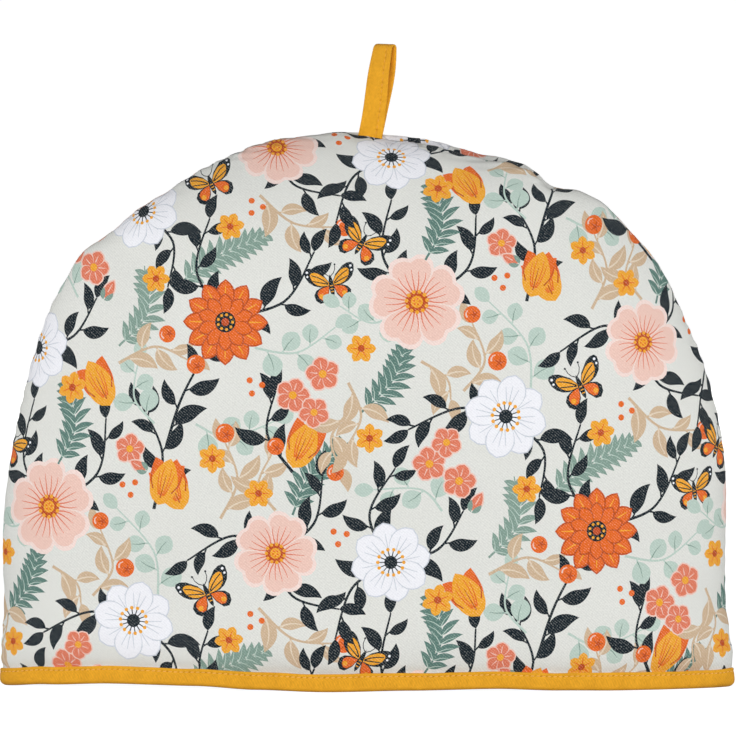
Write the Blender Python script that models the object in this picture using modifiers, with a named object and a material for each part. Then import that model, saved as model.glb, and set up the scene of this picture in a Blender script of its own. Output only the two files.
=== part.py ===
"""A padded tea cosy that stands on its hem, hollow, with its mouth down.

Two dome-shaped padded panels butt along the seam that runs over the crown, in the plane
y = 0. A folded binding wraps the hem all round, and a loop of flat tape is caught in the
seam at the crown. Metres, +Z up, the front panel faces -Y. The origin is on the surface
that the hem rests on, under the middle of the cosy.
"""

import math

import bmesh
import bpy
from mathutils import Vector

MM = 0.001

# The dome's outer cloth, measured from its middle on the resting surface.
HALF_WIDTH = 169.0 * MM
HALF_DEPTH = 57.0 * MM
SEAM_HEIGHT = 261.0 * MM
HEM_FLARE = 3.2 * MM  # how much wider the cosy stands at the hem than just above it
FLARE_ENDS = 46.0 * MM  # above the resting surface
# Powers of the dome's curve: |x/a|^flank + |y/b|^puff + |z/c|^crown = 1.
FLANK_POWER = 1.95
PUFF_POWER = 1.56
CROWN_POWER = 3.9

# The padded cloth: its wall, and how far the binding presses its face in.
WALL = 6.0 * MM
PRESSED = 1.5 * MM
PUFFED_FROM = 26.0 * MM  # above the resting surface, the wall is full again
SEAM_GROOVE = 2.2 * MM  # how deep the seam sinks between the two panels
GAP = 0.3 * MM  # left between neighbouring pieces

# The binding: a strip of doubled cloth folded under the hem.
BINDING_THICK = 1.0 * MM
BINDING_HEIGHT = 8.5 * MM
BINDING_ROUND = 0.4 * MM  # of its two upper edges
BINDING_FOLD = 1.0 * MM  # of the fold that it stands on
FOLD_CORNER = 0.3 * MM  # how far the rounded fold stays from a square corner
PANEL_FOOT = BINDING_THICK + GAP

# The hanging loop: a doubled tape.
TAPE_WIDTH = 11.0 * MM
TAPE_THICK = 1.2 * MM
TAPE_SUNK = 7.0 * MM  # below the crown, between the panels
LOOP_TOP = 302.0 * MM
LOOP_X = 1.3 * MM
LOOP_HALF_OPEN = 5.4 * MM  # from the tape's middle to the loop's middle plane
LOOP_FOLD_HEIGHT = 4.0 * MM
LOOP_FOLD_SHARE = 0.14  # of each leg's stations, laid in the fold
LOOP_OPENS_OVER = 26.0 * MM  # above the crown
LOOP_LEAN = 0.17  # sideways for each metre up
LOOP_TWIST = math.radians(20.0)
LOOP_TWISTS_OVER = 30.0 * MM  # above the crown

# How finely the pieces are cut.
STATIONS = 68  # round the cosy, the same for the panels and the binding
DOME_ROWS = 22  # up the cosy
HEM_ROWS = [PANEL_FOOT, 5.2 * MM, 9.5 * MM, 12.5 * MM, 17.0 * MM, 24.0 * MM]  # the lowest
LOOP_STATIONS = 45  # odd, so that one lies on the fold
TAPE_STRIPS = 4

# Where the real cloth is pinched or pushed in: a place on the front view, how far it
# reaches and how deep it goes. "seam" moves the outline in, the others move a panel in,
# and a depth below zero is a swelling. A panel's dents fade out near its seam.
DENTS = [
    {"on": "seam", "x": -118 * MM, "z": 212 * MM, "reach": 12 * MM, "depth": 2.6 * MM},
    {"on": "seam", "x": -132 * MM, "z": 203 * MM, "reach": 15 * MM, "depth": -2.6 * MM},
    {"on": "seam", "x": -96 * MM, "z": 230 * MM, "reach": 18 * MM, "depth": 2.4 * MM},
    {"on": "seam", "x": -146 * MM, "z": 186 * MM, "reach": 24 * MM, "depth": -1.4 * MM},
    {"on": "seam", "x": -47 * MM, "z": 257 * MM, "reach": 18 * MM, "depth": -2.2 * MM},
    {"on": "seam", "x": 54 * MM, "z": 252 * MM, "reach": 24 * MM, "depth": 2.2 * MM},
    {"on": "seam", "x": 111 * MM, "z": 227 * MM, "reach": 15 * MM, "depth": -2.6 * MM},
    {"on": "seam", "x": 168 * MM, "z": 64 * MM, "reach": 22 * MM, "depth": 1.4 * MM},
    {"on": "seam", "x": 168 * MM, "z": 108 * MM, "reach": 36 * MM, "depth": -2.0 * MM},
    {"on": "seam", "x": -168 * MM, "z": 72 * MM, "reach": 46 * MM, "depth": -2.2 * MM},
    {"on": "front", "x": -104 * MM, "z": 190 * MM, "reach": 30 * MM, "depth": 3.0 * MM},
    {"on": "front", "x": 92 * MM, "z": 205 * MM, "reach": 26 * MM, "depth": 2.4 * MM},
    {"on": "front", "x": -96 * MM, "z": 22 * MM, "reach": 40 * MM, "depth": 3.4 * MM},
    {"on": "front", "x": 60 * MM, "z": 20 * MM, "reach": 36 * MM, "depth": 2.4 * MM},
    {"on": "back", "x": 104 * MM, "z": 184 * MM, "reach": 32 * MM, "depth": 2.8 * MM},
    {"on": "back", "x": 88 * MM, "z": 24 * MM, "reach": 42 * MM, "depth": 3.2 * MM},
    {"on": "back", "x": -74 * MM, "z": 26 * MM, "reach": 38 * MM, "depth": 2.4 * MM},
]

DENTS_FADE = 19.0 * MM  # from the seam's plane

FINISHES = {
    "printed_cotton": ((0.73, 0.75, 0.70), 0.85),
    "amber_cotton": ((0.80, 0.37, 0.04), 0.80),
}


def signed_power(value, power):
    return math.copysign(abs(value) ** power, value)


def eased(value, low, high):
    """0 below low, 1 above high, and a smooth step between."""
    t = min(max((value - low) / (high - low), 0.0), 1.0)
    return t * t * (3.0 - 2.0 * t)


def dome_point(turn, height, grow=0.0):
    """A point of the smooth dome, grown outwards. A turn of 0 is the seam at +X."""
    share = min(height / (SEAM_HEIGHT + grow), 1.0)
    ring = 1.0 - share**CROWN_POWER
    flare = HEM_FLARE * (1.0 - eased(height, BINDING_HEIGHT, FLARE_ENDS))
    x = (HALF_WIDTH + flare + grow) * ring ** (1 / FLANK_POWER)
    y = (HALF_DEPTH + grow) * ring ** (1 / PUFF_POWER)
    return Vector(
        (
            x * signed_power(math.cos(turn), 2 / FLANK_POWER),
            y * signed_power(math.sin(turn), 2 / PUFF_POWER),
            height,
        )
    )


def into_outline(point):
    """Straight into the cosy from its outline, as the front view shows it."""
    across = signed_power(point.x / HALF_WIDTH, FLANK_POWER - 1) * FLANK_POWER / HALF_WIDTH
    up = (point.z / SEAM_HEIGHT) ** (CROWN_POWER - 1) * CROWN_POWER / SEAM_HEIGHT
    return -Vector((across, 0.0, up)).normalized()


def dent_shift(turn, height):
    """How far the dents move the cloth here, the same through its whole thickness."""
    point = dome_point(turn, max(height, BINDING_HEIGHT))
    shift = Vector((0.0, 0.0, 0.0))
    for dent in DENTS:
        away = Vector((point.x - dent["x"], 0.0, point.z - dent["z"]))
        if dent["on"] == "seam":
            away.y = point.y
            way = into_outline(point)
            near = 1.0
        elif (dent["on"] == "front") == (point.y < 0):
            way = Vector((0.0, math.copysign(1.0, -point.y), 0.0))
            near = eased(abs(point.y), 0.0, DENTS_FADE)
        else:
            continue
        shift += way * dent["depth"] * near * math.exp(-away.length_squared / dent["reach"] ** 2)
    return shift


def finished(name, mesh, finish, collection):
    """An object of this mesh with its material, in the cosy's collection."""
    colour, roughness = FINISHES[finish]
    material = bpy.data.materials.get(finish) or bpy.data.materials.new(finish)
    material.use_nodes = True
    shader = material.node_tree.nodes["Principled BSDF"]
    shader.inputs["Base Color"].default_value = (*colour, 1.0)
    shader.inputs["Roughness"].default_value = roughness
    shader.inputs["Metallic"].default_value = 0.0
    mesh.materials.append(material)
    mesh.shade_smooth()
    piece = bpy.data.objects.new(name, mesh)
    collection.objects.link(piece)
    return piece


def row_height(row, top):
    """How high a row of the dome's cloth lies: by the table, then closer near the top."""
    if row < len(HEM_ROWS):
        return HEM_ROWS[row]
    last = len(HEM_ROWS) - 1
    rise = math.sin(math.pi / 2 * (row - last) / (DOME_ROWS - last))
    return HEM_ROWS[last] + (top - HEM_ROWS[last]) * rise


def skin(shape, side, inner):
    """Adds one open skin of a panel to shape: the quarter of a sphere, bent to the dome."""
    before = set(shape.verts)
    bmesh.ops.create_uvsphere(
        shape, u_segments=STATIONS, v_segments=2 * DOME_ROWS, radius=1.0
    )
    fresh = [v for v in shape.verts if v not in before]
    tiny = 1e-5
    outside = [v for v in fresh if v.co.y * side < -tiny or v.co.z < -tiny]
    bmesh.ops.delete(shape, geom=outside, context="VERTS")
    fresh = [v for v in fresh if v.is_valid]
    top = SEAM_HEIGHT - (WALL if inner else 0.0)
    for vert in fresh:
        on_seam = abs(vert.co.y) < tiny
        turn = math.atan2(max(vert.co.y * side, 0.0) * side, vert.co.x)
        if vert.co.xy.length < tiny:
            turn = side * math.pi / 2  # the crown, where all the turns meet
        latitude = math.asin(min(max(vert.co.z, 0.0), 1.0))
        height = row_height(round(latitude / (math.pi / 2) * DOME_ROWS), top)
        pressed = 1.0 - eased(height, BINDING_HEIGHT, PUFFED_FROM)
        vert.co = dome_point(turn, height, -WALL if inner else -PRESSED * pressed)
        if on_seam and not inner:
            sunk = SEAM_GROOVE * eased(height, BINDING_HEIGHT, PUFFED_FROM)
            vert.co += into_outline(vert.co) * sunk
        vert.co += dent_shift(turn, height)
        vert.co.z = max(vert.co.z, PANEL_FOOT)
        vert.co.y += side * GAP / 2
    return fresh


def panel(name, side, collection):
    """A padded panel: its outer and inner skins, joined along the seam and the hem."""
    shape = bmesh.new()
    skin(shape, side, inner=False)
    skin(shape, side, inner=True)
    rims = [e for e in shape.edges if e.is_boundary]
    bmesh.ops.bridge_loops(shape, edges=rims)
    bmesh.ops.recalc_face_normals(shape, faces=shape.faces)
    mesh = bpy.data.meshes.new(name)
    shape.to_mesh(mesh)
    shape.free()
    return finished(name, mesh, "printed_cotton", collection)


def binding_section():
    """The binding cut across: (how far out from the smooth dome, height), all round."""
    face = -PRESSED + GAP
    out = face + BINDING_THICK
    lining = -WALL - GAP
    back = lining - BINDING_THICK
    top, bevel, fold = BINDING_HEIGHT, BINDING_ROUND, BINDING_FOLD
    return [
        (out - bevel, top),
        (out, top - bevel),
        (out, fold),
        (out - FOLD_CORNER, FOLD_CORNER),
        (out - fold, 0.0),
        (back + fold, 0.0),
        (back + FOLD_CORNER, FOLD_CORNER),
        (back, fold),
        (back, top - bevel),
        (back + bevel, top),
        (lining - bevel, top),
        (lining, top - bevel),
        (lining, BINDING_THICK),
        (face, BINDING_THICK),
        (face, top - bevel),
        (face + bevel, top),
    ]


def hem_binding(collection):
    """The folded binding: a torus whose rings become the section, set round the hem."""
    section = binding_section()
    bpy.ops.mesh.primitive_torus_add(major_segments=STATIONS, minor_segments=len(section))
    ring = bpy.context.object
    mesh = ring.data
    bpy.data.objects.remove(ring)
    for index, vert in enumerate(mesh.vertices):
        station, corner = divmod(index, len(section))
        grow, height = section[corner]
        turn = math.tau * station / STATIONS
        vert.co = dome_point(turn, BINDING_HEIGHT, grow) + dent_shift(turn, BINDING_HEIGHT)
        vert.co.z = height
        if station % (STATIONS // 2):
            vert.co.y += math.copysign(GAP / 2, math.sin(turn))
    shape = bmesh.new()
    shape.from_mesh(mesh)
    bmesh.ops.recalc_face_normals(shape, faces=shape.faces)
    shape.to_mesh(mesh)
    shape.free()
    return finished("hem_binding", mesh, "amber_cotton", collection)


def loop_path(share):
    """(front to back, height) of the tape's middle at a share of its way over the loop."""
    side = -1.0 if share < 0.5 else 1.0
    up = 1.0 - abs(2.0 * share - 1.0)
    straight = 1.0 - LOOP_FOLD_SHARE
    leg = (TAPE_THICK + GAP) / 2
    start = SEAM_HEIGHT - TAPE_SUNK
    spring = LOOP_TOP - TAPE_THICK / 2 - LOOP_FOLD_HEIGHT  # where the fold begins
    if up > straight:
        angle = math.pi / 2 * (up - straight) / LOOP_FOLD_SHARE
        height = spring + LOOP_FOLD_HEIGHT * math.sin(angle)
        return side * LOOP_HALF_OPEN * math.cos(angle), height
    height = start + (spring - start) * up / straight
    opened = eased(height, SEAM_HEIGHT, SEAM_HEIGHT + LOOP_OPENS_OVER)
    return side * (leg + (LOOP_HALF_OPEN - leg) * opened), height


def hanging_loop(collection):
    """The tape: a grid laid along the loop's path, thickened both ways."""
    bpy.ops.mesh.primitive_grid_add(
        x_subdivisions=TAPE_STRIPS, y_subdivisions=LOOP_STATIONS - 1, size=1.0
    )
    sheet = bpy.context.object
    mesh = sheet.data
    bpy.data.objects.remove(sheet)
    for vert in mesh.vertices:
        across = vert.co.x * TAPE_WIDTH
        out, height = loop_path(vert.co.y + 0.5)
        above = max(height - SEAM_HEIGHT, 0.0)
        twist = LOOP_TWIST * eased(above, 0.0, LOOP_TWISTS_OVER)
        x = LOOP_X + across * math.cos(twist) + out * math.sin(twist) + LOOP_LEAN * above
        y = out * math.cos(twist) - across * math.sin(twist)
        vert.co = Vector((x, y, height))
    loop = finished("hanging_loop", mesh, "amber_cotton", collection)
    thicken = loop.modifiers.new("tape", "SOLIDIFY")
    thicken.thickness = TAPE_THICK
    thicken.offset = 0.0
    return loop


def seam_slot(cutters):
    """The room between the panels that the tape's two ends fill, with a gap all round."""
    bpy.ops.mesh.primitive_cube_add(size=1.0)
    slot = bpy.context.object
    slot.name = "seam_slot"
    for holder in list(slot.users_collection):
        holder.objects.unlink(slot)
    cutters.objects.link(slot)
    low = SEAM_HEIGHT - TAPE_SUNK - GAP
    slot.scale = (TAPE_WIDTH + 2 * GAP, 2 * TAPE_THICK + 3 * GAP, 2 * TAPE_SUNK)
    slot.location = (LOOP_X, 0.0, low + TAPE_SUNK)
    slot.hide_render = True
    slot.display_type = "WIRE"
    return slot


def main():
    for old in list(bpy.data.objects):
        bpy.data.objects.remove(old)
    cosy = bpy.data.collections.new("tea_cosy")
    cutters = bpy.data.collections.new("cutters")
    bpy.context.scene.collection.children.link(cosy)
    bpy.context.scene.collection.children.link(cutters)
    slot = seam_slot(cutters)
    for name, side in (("front_panel", -1), ("back_panel", 1)):
        cut = panel(name, side, cosy).modifiers.new("slot for the loop", "BOOLEAN")
        cut.operation = "DIFFERENCE"
        cut.object = slot
    hem_binding(cosy)
    hanging_loop(cosy)


main()
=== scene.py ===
"""A tea cosy: two padded panels of printed cotton twill, sewn together over the crown, with a
folded amber binding round the hem and a hanging loop of the same amber cotton.

Lengths are in millimetres until a mesh is made, where they become metres. +X is to the
right across the front panel, -Y out of the front panel and +Z up, from the surface that
the hem rests on.
"""

import math

import bpy
import numpy as np
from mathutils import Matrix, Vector
from mathutils.geometry import delaunay_2d_cdt


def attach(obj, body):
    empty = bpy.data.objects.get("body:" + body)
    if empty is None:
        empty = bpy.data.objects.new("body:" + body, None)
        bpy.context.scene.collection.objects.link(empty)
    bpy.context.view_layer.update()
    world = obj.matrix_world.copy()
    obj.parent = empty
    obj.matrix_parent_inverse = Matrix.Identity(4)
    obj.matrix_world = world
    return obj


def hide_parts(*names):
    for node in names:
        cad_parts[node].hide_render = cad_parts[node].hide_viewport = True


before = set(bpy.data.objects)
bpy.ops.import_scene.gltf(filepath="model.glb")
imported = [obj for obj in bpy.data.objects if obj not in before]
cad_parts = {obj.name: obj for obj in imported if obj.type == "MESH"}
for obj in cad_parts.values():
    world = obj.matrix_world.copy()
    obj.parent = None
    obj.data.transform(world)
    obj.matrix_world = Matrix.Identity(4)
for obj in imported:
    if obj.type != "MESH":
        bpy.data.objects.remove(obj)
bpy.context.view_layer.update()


# ---- The panels' form --------------------------------------------------------------------
# Each panel is a dome of printed twill, wadding and inner cloth, quilted by nothing but its
# own seams, so that it stands out as one soft shell. This section holds that shell: where a
# point of the flat, cut cloth lies once the cosy is sewn and stands on its hem.

HALF_WIDTH, HALF_DEPTH, SEAM_HEIGHT = 169.0, 57.0, 260.4
FOOT = 2.0  # the cloth's own edge, inside the fold of the binding
WALL = 6.0
HEM_FLARE = 3.2
FLARE_FROM, FLARE_TO = 8.5, 46.0  # heights between which the sides lean out to the hem
# Powers of the dome: |x/a|^flank + |y/b|^puff + |z/c|^crown = 1.
FLANK_POWER, PUFF_POWER, CROWN_POWER = 1.95, 1.56, 3.9
HEM_EDGE = 8.5  # the binding's upper edge, where the panel swells out
HEM_PRESSED, END_PRESSED = 3.9, 2.0  # how far the binding holds it in, and how far at the seam
HEM_SWELL, END_SWELL = 5.0, 2.4  # how fast it swells again, and how fast at the seam
END_REACH = 30.0  # how far from the seam the one becomes the other
BELLY, BELLY_AT, BELLY_REACH = 1.2, 25.0, 15.0  # where it stands out most
SEAM_GROOVE = 2.2  # how deep the seam sinks between the two panels
SEAM_ROLL = 3.2  # how far from the seam the cloth rolls over into it
SEAM_STIFF = 25.0  # how far from the seam the padding is less slack
SEAM_GAP = 0.3
PUCKER, PUCKER_FADES = 0.75, 7.0  # how deep the gathered seam pulls, and how far from it
GATHER, GATHER_FADES = 0.28, 9.0  # the same of the small gathers above the binding
SLACK = 0.45  # how far the slack padding swells and sinks

# Soft dents: what each moves, where it is on the front view, x and z, its reach and its depth.
# "seam" moves the outline in, "front" and "back" that panel, and below zero is a swelling.
DENTS = [
    ("seam", -118.0, 212.0, 11.0, 2.6),
    ("seam", -132.0, 203.0, 15.0, -2.6),
    ("seam", -96.0, 230.0, 18.0, 2.4),
    ("seam", -146.0, 186.0, 24.0, -1.4),
    ("seam", -140.0, 196.0, 12.0, 1.1),
    ("seam", -126.0, 206.0, 6.0, 1.2),
    ("seam", -47.0, 257.0, 18.0, -2.2),
    ("seam", -13.0, 259.0, 13.0, -1.1),
    ("seam", 54.0, 252.0, 24.0, 1.0),
    ("seam", 30.0, 257.0, 14.0, -0.8),
    ("seam", 67.0, 247.0, 12.0, -2.2),
    ("seam", 77.0, 242.0, 7.0, -1.2),
    ("seam", 88.0, 238.0, 8.0, 4.4),
    ("seam", 134.0, 203.0, 16.0, -1.2),
    ("seam", 150.0, 172.0, 14.0, 0.8),
    ("seam", 111.0, 227.0, 15.0, -2.6),
    ("seam", 172.0, 8.5, 14.0, -0.8),
    ("seam", 168.0, 64.0, 22.0, 0.4),
    ("seam", 168.0, 108.0, 36.0, -2.0),
    ("seam", -168.0, 72.0, 46.0, -3.2),
    ("front", -104.0, 190.0, 30.0, 3.0),
    ("front", 92.0, 205.0, 26.0, 2.4),
    ("front", -96.0, 22.0, 40.0, 3.4),
    ("front", 60.0, 20.0, 36.0, 2.4),
    ("back", 104.0, 184.0, 32.0, 2.8),
    ("back", 88.0, 24.0, 42.0, 3.2),
    ("back", -74.0, 26.0, 38.0, 2.4),
]
DENTS_FADE = 19.0  # from the seam's plane

# Slight creases: the panel, one end and the other on the front view, how wide and how deep.
CREASES = [
    ("front", (-119, 209), (-86, 176), 7.0, 0.9),
    ("front", (-133, 199), (-112, 160), 9.0, 0.6),
    ("front", (86, 236), (74, 196), 8.0, 0.7),
    ("front", (-128, 12), (-92, 34), 9.0, 0.7),
    ("front", (-70, 10), (-58, 40), 10.0, 0.6),
    ("front", (44, 10), (70, 30), 9.0, 0.6),
    ("front", (150, 60), (128, 92), 10.0, 0.6),
    ("front", (-152, 96), (-132, 70), 9.0, 0.6),
    ("front", (-20, 244), (-34, 214), 9.0, 0.6),
    ("back", (108, 210), (82, 172), 8.0, 0.9),
    ("back", (-102, 222), (-88, 186), 9.0, 0.7),
    ("back", (60, 10), (92, 30), 9.0, 0.7),
    ("back", (-96, 12), (-60, 34), 10.0, 0.6),
    ("back", (-146, 90), (-126, 120), 10.0, 0.6),
]
CREASES_FADE = 12.0

# How far the hem is lifted off the table, at places along the front and the back.
HEM_LIFTS = {
    "front": [(-172, 0.0), (-150, 1.6), (-120, 2.8), (-80, 2.3), (-52, 0.9), (-20, 0.0), (20, 0.8),
              (60, 1.4), (90, 0.4), (120, 0.0), (172, 0.0)],
    "back": [(-172, 0.0), (-110, 0.3), (-70, 1.2), (-30, 0.2), (30, 0.0), (80, 1.4), (120, 0.4),
             (172, 0.0)],
}
LIFT_FADES = 70.0  # above the hem

# Where the seam wanders to the front (above zero) or to the back of its plane, and how far
# it has slipped down the front there, with the back panel standing up behind it.
SEAM_WANDER = [(-172, 0.0), (-120, 0.0), (-60, -1.0), (-20, 0.6), (-6, 2.4), (30, 3.2), (60, 4.2),
               (80, 4.6), (86, 3.6), (91, -0.6), (110, -1.2), (150, -0.6), (172, 0.6)]
WANDER_FADES = 16.0
SEAM_SLIPS = [(-14, 0.0), (-4, 1.8), (12, 3.0), (40, 3.4), (78, 3.2), (86, 1.8), (91, 0.0)]
FRONT_SLIP_FADES, BACK_SLIP_FADES = 14.0, 2.6
CROWN_FROM, CROWN_WHOLE = 120.0, 200.0  # the heights between which both come in
# The seam opens this far to both sides for the loop, within so much of its middle.
LOOP_OPENS, LOOP_AT, LOOP_ROOM, LOOP_EASE = 1.5, 1.3, 7.4, 2.6
OPENING_FADES = 5.0
OPEN_FROM, OPEN_WHOLE = 240.0, 250.0  # the heights between which it opens


def eased(value, low, high):
    """0 below low, 1 above high, and a smooth step between."""
    t = np.clip((value - low) / (high - low), 0.0, 1.0)
    return t * t * (3.0 - 2.0 * t)


def along(table, x):
    """A value read from a table of (x, value), softly between its rows."""
    places, values = zip(*table)
    index = np.clip(np.searchsorted(places, x) - 1, 0, len(places) - 2)
    low, high = np.take(places, index), np.take(places, index + 1)
    share = eased(x, low, high)
    return np.take(values, index) * (1 - share) + np.take(values, index + 1) * share


def unit(ways):
    return ways / np.maximum(np.linalg.norm(ways, axis=1, keepdims=True), 1e-9)


def walked(points):
    """How far along a line of points each of them is."""
    return np.concatenate([[0.0], np.cumsum(np.linalg.norm(np.diff(points, axis=0), axis=1))])


def dome(turn, height, grow=0.0):
    """Points of the smooth front dome, its seam in the plane y = 0 at a turn of 0 and pi."""
    ring = 1.0 - np.minimum(height / (SEAM_HEIGHT + grow), 1.0) ** CROWN_POWER
    flare = HEM_FLARE * (1.0 - eased(height, FLARE_FROM, FLARE_TO))
    across = np.sign(np.cos(turn)) * np.abs(np.cos(turn)) ** (2 / FLANK_POWER)
    x = (HALF_WIDTH + flare + grow) * ring ** (1 / FLANK_POWER) * across
    out = ring ** (1 / PUFF_POWER) * np.abs(np.sin(turn)) ** (2 / PUFF_POWER)
    return np.stack(np.broadcast_arrays(x, -(HALF_DEPTH + grow) * out, height), axis=-1)


# The flat cloth: v is the way up its middle line and u the way across, to a point at `turn`.
ROWS, COLUMNS = 260, 241
row_height = FOOT + (SEAM_HEIGHT - FOOT) * np.sin(np.linspace(0.0, math.pi / 2, ROWS))
column_turn = np.linspace(math.pi, 0.0, COLUMNS)
net = dome(column_turn[None, :], row_height[:, None])
middle = COLUMNS // 2
row_v = walked(net[:, middle])
net_u = np.stack([walked(row) for row in net])
net_u -= net_u[:, middle:middle + 1]
row_half = net_u[:, -1]
edge_walk = walked(net[:, -1])
row_slope = np.gradient(row_half, row_v)
share_grid = np.linspace(-1.0, 1.0, COLUMNS)
turn_table = np.stack([
    np.interp(share_grid * row_half[i], net_u[i], column_turn) if row_half[i] > 0 else column_turn
    for i in range(ROWS)
])
CLOTH_HEIGHT = row_v[-1]


def from_the_seam(u, v):
    slope = np.interp(v, row_v, row_slope)
    return (np.interp(v, row_v, row_half) - np.abs(u)) / np.sqrt(1.0 + slope**2)


def inward(point):
    """The way from each point of the dome's outline to the inside, level with the seam's plane."""
    x, z = point[:, 0], np.clip(point[:, 2], 0, None)
    out = np.sign(x) * np.abs(x / HALF_WIDTH) ** (FLANK_POWER - 1) * FLANK_POWER / HALF_WIDTH
    up = (z / SEAM_HEIGHT) ** (CROWN_POWER - 1) * CROWN_POWER / SEAM_HEIGHT
    return unit(np.stack([-out, np.zeros(len(point)), -up], axis=-1))


def settled(point, side, from_seam=0.0):
    """Takes points of the smooth front dome to where the sewn cloth settles, on its own side."""
    x, y, z = point.T.copy()
    into = inward(point)
    for on, dent_x, dent_z, reach, depth in DENTS:
        far = (x - dent_x) ** 2 + (np.maximum(z, FLARE_FROM) - dent_z) ** 2
        if on == "seam":
            point += into * (depth * np.exp(-(far + y**2) / reach**2))[:, None]
        elif (on == "front") == (side < 0):
            point[:, 1] += depth * eased(-y, 0.0, DENTS_FADE) * np.exp(-far / reach**2)
    lift = along(HEM_LIFTS["front" if side < 0 else "back"], x)
    point[:, 2] += lift * (1.0 - eased(z, 0.0, LIFT_FADES))
    point[:, 1] *= -side
    point[:, 1] += side * SEAM_GAP / 2
    near_crown = eased(z, CROWN_FROM, CROWN_WHOLE)
    point[:, 1] -= along(SEAM_WANDER, x) * near_crown * np.exp(-((y / WANDER_FADES) ** 2))
    slip_fades = FRONT_SLIP_FADES if side < 0 else BACK_SLIP_FADES
    point[:, 2] -= along(SEAM_SLIPS, x) * near_crown * np.exp(-((from_seam / slip_fades) ** 2))
    room = 1.0 - eased(np.abs(x - LOOP_AT), LOOP_ROOM - LOOP_EASE, LOOP_ROOM)
    room *= np.exp(-np.abs(y) / OPENING_FADES) * eased(z, OPEN_FROM, OPEN_WHOLE)
    point[:, 1] += side * LOOP_OPENS * room
    return point


def seam_pucker(walk, from_seam):
    """How much deeper the gathered seam pulls the cloth in, by turns along the seam."""
    gather = 0.5 + 0.5 * np.sin(walk * 0.62 + 1.6 * np.sin(walk * 0.117))
    slack = 0.6 + 0.4 * np.sin(walk * 0.045 + 1.0)
    return PUCKER * gather * slack * np.exp(-from_seam / PUCKER_FADES)


def crease(start, end, wide, deep, x, y, z):
    """How deep one of the slight creases is at places on its panel."""
    (x0, z0), (x1, z1) = start, end
    long = math.hypot(x1 - x0, z1 - z0)
    go = ((x - x0) * (x1 - x0) + (z - z0) * (z1 - z0)) / long**2
    off = ((x - x0) * (z1 - z0) - (z - z0) * (x1 - x0)) / long
    fade = eased(go, -0.25, 0.25) * (1.0 - eased(go, 0.55, 1.2))
    return deep * np.exp(-((off / wide) ** 2)) * fade * eased(-y, 0.0, CREASES_FADE)


def turn_at(row, share):
    """The dome's turn at a part of the way across a row of the flat cloth."""
    low = np.minimum(row.astype(int), ROWS - 2)
    column = (share + 1.0) / 2 * (COLUMNS - 1)
    left = np.minimum(column.astype(int), COLUMNS - 2)
    part, beside = row - low, column - left
    below, above = ((1 - beside) * turn_table[r, left] + beside * turn_table[r, left + 1]
                    for r in (low, low + 1))
    return (1 - part) * below + part * above


def lie(u, v, side, skin):
    """Where the cloth's flat points (u, v) lie on the cosy; side is -1 at the front."""
    row = np.interp(v, row_v, np.arange(ROWS))
    height = np.interp(row, np.arange(ROWS), row_height)
    share = np.clip(u / np.maximum(np.interp(v, row_v, row_half), 1e-6), -1.0, 1.0)
    turn = turn_at(row, share)
    from_seam = np.maximum(from_the_seam(u, v), 0.0)
    walk = np.interp(v, row_v, edge_walk)
    walk = np.where(u > 0, walk, 2 * edge_walk[-1] - walk)

    if skin == "inner":
        inner_height = FOOT + (height - FOOT) * (SEAM_HEIGHT - WALL - FOOT) / (SEAM_HEIGHT - FOOT)
        return settled(dome(turn, inner_height, -WALL), side, from_seam)
    off_seam = eased(from_seam, 0.0, END_REACH)
    pressed = END_PRESSED + (HEM_PRESSED - END_PRESSED) * off_seam
    reach = END_SWELL + (HEM_SWELL - END_SWELL) * off_seam
    above_hem = np.maximum(height - HEM_EDGE, 0.0)
    swell = 1.0 - np.exp(-above_hem / reach)
    point = dome(turn, height, -pressed * (1.0 - swell))
    x, y, z = point.T.copy()
    roll = np.clip(1.0 - from_seam / SEAM_ROLL, 0.0, 1.0)
    sunk = SEAM_GROOVE * (1.0 - np.sqrt(1.0 - roll**2)) + seam_pucker(walk, from_seam)
    point += inward(point) * (sunk * swell)[:, None]
    # Slack in the padding, too soft to be a crease, and small gathers above the binding.
    puff = np.sin(x * 0.071 + 1.3 * np.sin(z * 0.043)) * np.sin(z * 0.059 + 0.9 * np.cos(x * 0.037))
    gathers = np.sin(u * 0.41 + 1.9 * np.sin(u * 0.083)) * np.exp(-above_hem / GATHER_FADES)
    belly = BELLY * np.exp(-(((height - BELLY_AT) / BELLY_REACH) ** 2))
    inwards = (SLACK * puff + GATHER * gathers - belly) * eased(from_seam, 0.0, SEAM_STIFF)
    for on, *made in CREASES:
        if (on == "front") == (side < 0):
            inwards += crease(*made, x, y, z)
    point[:, 1] += inwards * swell
    return settled(point, side, from_seam)


# ---- The print ---------------------------------------------------------------------------
# The twill is screen printed before it is cut: flat inks on a pale stone ground, a garden of
# dog roses, dahlias, tulips and anemones on leafy stems, with butterflies, in a half-drop
# repeat. Each patch of ink is one outline on the flat cloth, laid on the ones before it.

INKS = {
    "cloth": "#E5E6E1",
    "teal": "#0B1C26",
    "sage": "#84A094",
    "deep sage": "#5C8077",
    "mint": "#BED2C8",
    "tan": "#D2B798",
    "pale tan": "#E6D6C0",
    "orange": "#E96B1F",
    "rust": "#C44E1A",
    "amber": "#F3A92C",
    "coral": "#E57E60",
    "blush": "#F3CCBF",
    "pale blush": "#F8E1DA",
    "white": "#F6F7FD",
    "shade": "#D3D8E2",
}
REPEAT_WIDTH, REPEAT_HEIGHT = 176.0, 196.0  # the next column drops by half the height

patches = []  # (ink, outline) for one repeat, the lowest ink first


def motif_place(x, y, turn=0.0, size=1.0):
    """A motif's own frame on the cloth: returns what takes its points there."""
    c, s = size * math.cos(math.radians(turn)), size * math.sin(math.radians(turn))
    return lambda a, b: (x + a * c - b * s, y + a * s + b * c)


def turned(at, angle):
    """The frame at, turned about its own middle by an angle in radians."""
    c, s = math.cos(angle), math.sin(angle)
    return lambda a, b: at(a * c - b * s, a * s + b * c)


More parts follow.
